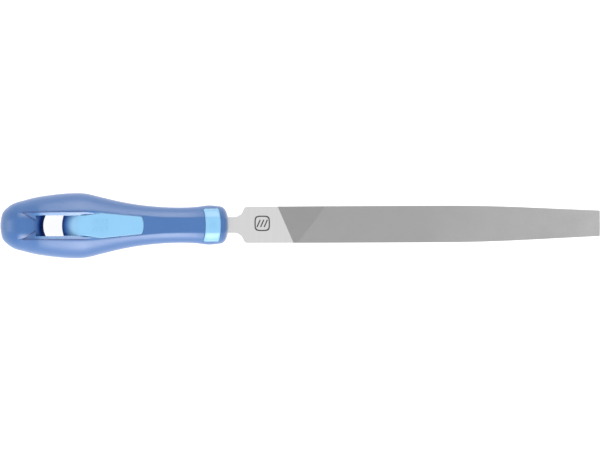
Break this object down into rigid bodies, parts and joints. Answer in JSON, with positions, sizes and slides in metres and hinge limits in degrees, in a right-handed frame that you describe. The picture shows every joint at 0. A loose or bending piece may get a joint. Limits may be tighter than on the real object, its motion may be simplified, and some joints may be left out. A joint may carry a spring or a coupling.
{
  "type": "flat file",
  "caption": "Flat workshop file: a toothed steel blade with a smooth heel and a tang, in a two-tone moulded handle with a hanging hole.",
  "frame": {"origin": "centre of the whole file's bounding box, which lies on the axis of blade and handle, half way between butt and tip", "axes": "+X along the file from the handle's butt to the blade's tip, +Y across its width, +Z square to the blade's broad face"},
  "size_m": [0.3334, 0.0364, 0.028],
  "materials": {
    "file_steel": "ground heel and shoulder, the rest cut with fine crossed teeth",
    "core_plastic": "smooth hard light-blue moulding, satin gloss",
    "jacket_plastic": "smooth mid-blue moulding, satin"
  },
  "bodies": {
    "root": {"file_blade": "file_steel", "handle_core": "core_plastic", "handle_jacket": "jacket_plastic"}
  },
  "joints": []
}
